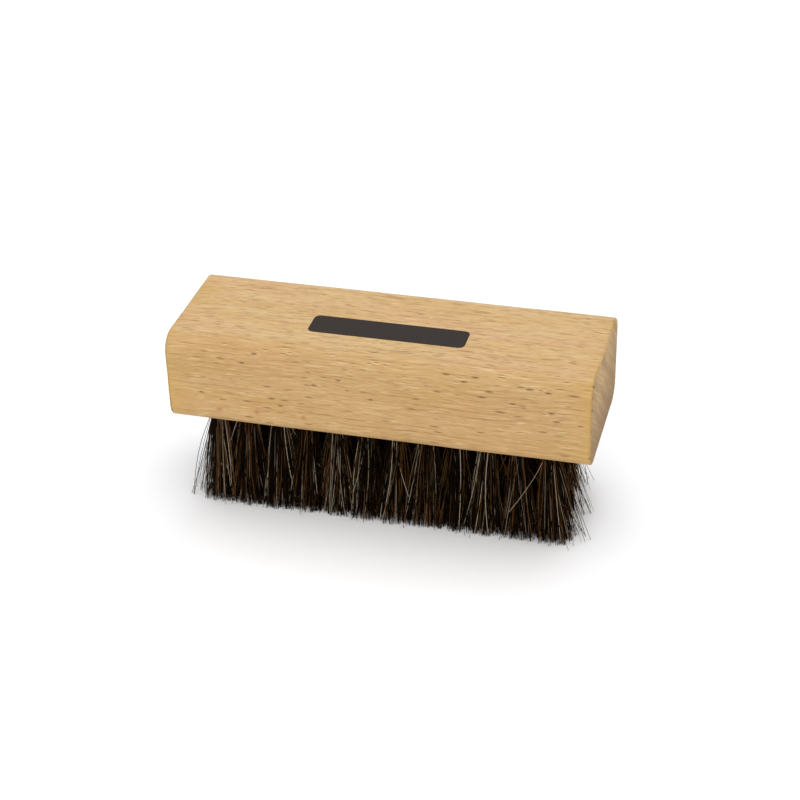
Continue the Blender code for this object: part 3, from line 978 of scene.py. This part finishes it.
def make_floor(stage):
    """A square pale floor on the plane of the tips."""
    half = stage.floor_side / 2
    corners = np.array([(-half, -half, 0), (half, -half, 0), (half, half, 0), (-half, half, 0)])
    mesh = mesh_from_arrays("floor", corners, np.array([[0, 1, 2, 3]]))
    material, tree, shader = new_material("board_matt_painted")
    connect(tree, shader, {"Base Color": opaque(stage.floor), "Roughness": 0.7})
    mesh.materials.append(material)
    in_scene("floor", mesh)


def light_room(stage):
    """A white room, and the softboxes, each turned towards the middle of the block."""
    world = bpy.data.worlds.new("white_room")
    world.use_nodes = True
    background = world.node_tree.nodes["Background"]
    background.inputs["Color"].default_value = (1, 1, 1, 1)
    background.inputs["Strength"].default_value = stage.world_light
    bpy.context.scene.world = world

    target = (BLOCK_HIGH + BLOCK_LOW) / 2
    for name, power, side, place in SOFTBOXES:
        light = bpy.data.lights.new(name, "AREA")
        light.shape, light.size, light.energy = "SQUARE", side, getattr(stage, power)
        lamp = in_scene(name, light)
        lamp.location = place
        lamp.rotation_euler = (target - lamp.location).to_track_quat("-Z", "Y").to_euler()


def place_camera(stage):
    """The camera at the photograph's angle: pitched down from level, rolled, and turned to the left."""
    camera = bpy.data.cameras.new("camera")
    camera.lens = stage.lens
    camera.clip_start = CLIP_START
    viewer = in_scene("camera", camera)
    turn = (
        Matrix.Rotation(stage.yaw, 4, "Z")
        @ Matrix.Rotation(math.pi / 2 - stage.pitch, 4, "X")
        @ Matrix.Rotation(-stage.roll, 4, "Z")
    )
    viewer.matrix_world = Matrix.Translation(stage.camera) @ turn
    bpy.context.scene.camera = viewer


class LEATHER_BRUSH_OT_block(bpy.types.Operator):
    """Makes the drilled beech block"""

    bl_idname = "leather_brush.block"
    bl_label = "Beech block"

    def execute(self, context):
        block = context.scene.leather_brush.block
        piece = piece_from("beech_block", block_mesh(block), beech_material(block))
        drilled(piece, in_scene("drills", drill_mesh(block)))
        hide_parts("block")
        return {"FINISHED"}


class LEATHER_BRUSH_OT_tufts(bpy.types.Operator):
    """Makes every horsehair tuft, hair by hair"""

    bl_idname = "leather_brush.tufts"
    bl_label = "Horsehair tufts"

    def execute(self, context):
        settings = context.scene.leather_brush
        material = horsehair_material(settings.hair)
        chance = np.random.default_rng(settings.hair.seed)
        for node, (low, high) in KNOTS.items():
            name = node.replace("tuft_", "hair_")
            mesh = tuft_mesh(name, low, high, settings, chance)
            piece = piece_from(name, mesh, material)
            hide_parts(node)
        return {"FINISHED"}


class LEATHER_BRUSH_OT_anchors(bpy.types.Operator):
    """Makes the flat wires that hold the tufts in their holes"""

    bl_idname = "leather_brush.anchors"
    bl_label = "Anchor wires"

    def execute(self, context):
        anchor = context.scene.leather_brush.anchor
        piece_from("anchor_wires", wire_mesh(anchor), steel_material(anchor))
        return {"FINISHED"}


class LEATHER_BRUSH_OT_mark(bpy.types.Operator):
    """Makes the plain bar printed on top"""

    bl_idname = "leather_brush.mark"
    bl_label = "Printed bar"

    def execute(self, context):
        settings = context.scene.leather_brush
        mesh = bar_mesh(settings.mark)
        mesh.set_sharp_from_angle(angle=SHARP_ANGLE)
        piece_from("printed_bar", mesh, ink_material(settings.mark, settings.block))
        return {"FINISHED"}


class LEATHER_BRUSH_OT_stage(bpy.types.Operator):
    """Makes the pale floor, the soft lights and the camera"""

    bl_idname = "leather_brush.stage"
    bl_label = "Studio stage"

    def execute(self, context):
        stage = context.scene.leather_brush.stage
        make_floor(stage)
        light_room(stage)
        place_camera(stage)
        context.scene.view_settings.view_transform = "Standard"
        return {"FINISHED"}


OPERATORS = (
    LEATHER_BRUSH_OT_block,
    LEATHER_BRUSH_OT_tufts,
    LEATHER_BRUSH_OT_anchors,
    LEATHER_BRUSH_OT_mark,
    LEATHER_BRUSH_OT_stage,
)


class LEATHER_BRUSH_PT_panel(bpy.types.Panel):
    """Lists the brush's operators and settings"""

    bl_label = "Leather cleaning brush"
    bl_space_type = "VIEW_3D"
    bl_region_type = "UI"
    bl_category = "Brush"

    def draw(self, context):
        settings = context.scene.leather_brush
        for operator, name in zip(OPERATORS, ("block", "hair", "anchor", "mark", "stage")):
            box = self.layout.box()
            box.operator(operator.bl_idname)
            group = getattr(settings, name)
            for key in group.__annotations__:
                box.prop(group, key)


SETTINGS = (BlockSettings, HairSettings, AnchorSettings, MarkSettings, StageSettings, BrushSettings)
CLASSES = (*SETTINGS, *OPERATORS, LEATHER_BRUSH_PT_panel)


def register():
    for item in CLASSES:
        bpy.utils.register_class(item)
    bpy.types.Scene.leather_brush = PointerProperty(type=BrushSettings)


def unregister():
    del bpy.types.Scene.leather_brush
    for item in reversed(CLASSES):
        bpy.utils.unregister_class(item)


def main():
    register()
    bpy.ops.leather_brush.block()
    bpy.ops.leather_brush.tufts()
    bpy.ops.leather_brush.anchors()
    bpy.ops.leather_brush.mark()
    bpy.ops.leather_brush.stage()


if __name__ == "__main__":
    main()
